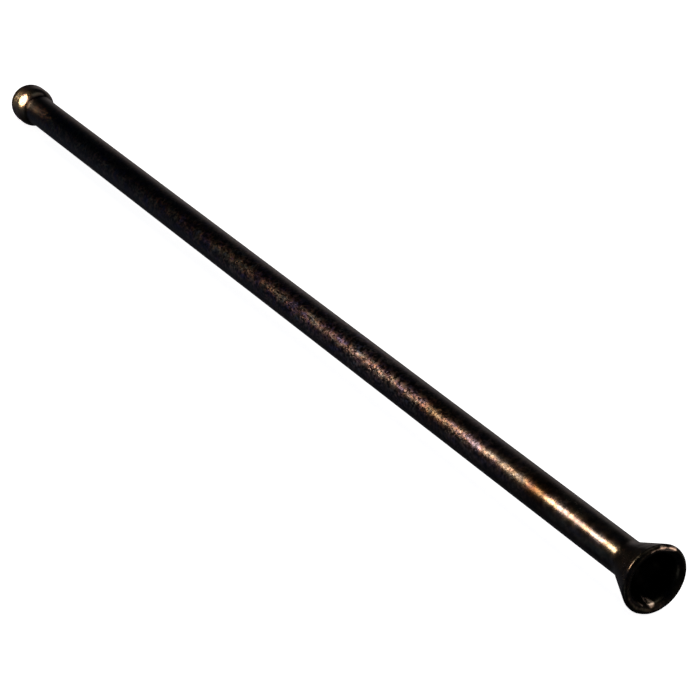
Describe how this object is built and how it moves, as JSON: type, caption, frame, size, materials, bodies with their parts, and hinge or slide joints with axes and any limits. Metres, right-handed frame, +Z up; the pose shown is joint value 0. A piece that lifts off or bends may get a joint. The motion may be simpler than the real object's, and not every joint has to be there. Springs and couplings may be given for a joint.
{
  "type": "engine pushrod",
  "caption": "Solid steel engine pushrod: a plain round rod with a ball at one end that seats in the tappet and a flared cup at the other that takes the rocker's ball.",
  "frame": {"origin": "on the surface that the rod lies on, under the middle of its bounding box", "axes": "+X along the rod from the ball to the mouth of the cup, +Z up from the surface it lies on, +Y to its left"},
  "size_m": [0.2906, 0.0148, 0.0148],
  "materials": {
    "blackened_steel": "blackened and oiled, semi-gloss, with fine mottling"
  },
  "bodies": {
    "root": {"pushrod": "blackened_steel"}
  },
  "joints": []
}
